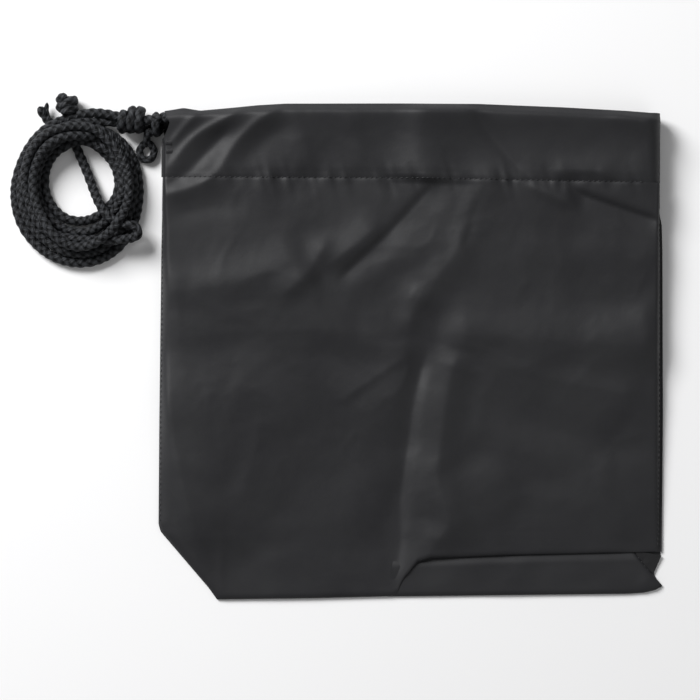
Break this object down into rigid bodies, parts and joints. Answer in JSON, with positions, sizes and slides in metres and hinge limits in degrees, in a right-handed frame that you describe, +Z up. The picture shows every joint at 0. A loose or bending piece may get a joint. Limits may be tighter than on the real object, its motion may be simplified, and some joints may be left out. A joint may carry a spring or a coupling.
{
  "type": "drawstring storage bag",
  "caption": "Flat nylon drawstring pouch with a turned casing round the mouth, a boxed base and a braided drawcord knotted at its exit and coiled beside it",
  "frame": {"origin": "on the surface the pouch lies on, under the middle of the pouch without its free cord", "axes": "+Z is up off the surface, +Y points to the mouth, +X points to the closed end of the casing, away from the cord's exit"},
  "size_m": [0.3908, 0.3039, 0.0198],
  "materials": {
    "pouch_cloth": "black plain-weave nylon taffeta with a faint satin sheen",
    "sewing_thread": "black polyester sewing thread",
    "braided_cord": "black braided cord, slightly glossy filaments"
  },
  "bodies": {
    "pouch": {"back_panel": "pouch_cloth", "front_panel": "pouch_cloth", "base_panel": "pouch_cloth", "front_casing": "pouch_cloth", "back_casing": "pouch_cloth", "right_casing_return": "pouch_cloth", "left_casing_end": "pouch_cloth", "left_corner_tuck": "pouch_cloth", "right_corner_tuck": "pouch_cloth", "front_casing_stitching": "sewing_thread", "back_casing_stitching": "sewing_thread", "left_side_stitching": "sewing_thread", "right_side_stitching": "sewing_thread", "corner_stitching": "sewing_thread", "exit_bartacks": "sewing_thread"},
    "drawcord": {"drawcord_in_casing": "braided_cord", "drawcord_front_neck": "braided_cord", "drawcord_back_neck": "braided_cord", "gather_knot": "braided_cord", "small_loop": "braided_cord", "drawcord_coil": "braided_cord", "end_knot": "braided_cord", "tail_tip": "braided_cord"}
  },
  "joints": [
    {"name": "drawcord_slide", "type": "slide", "parent": "pouch", "child": "drawcord", "axis": [-1, 0, 0], "range_m": [0, 0.011]}
  ]
}
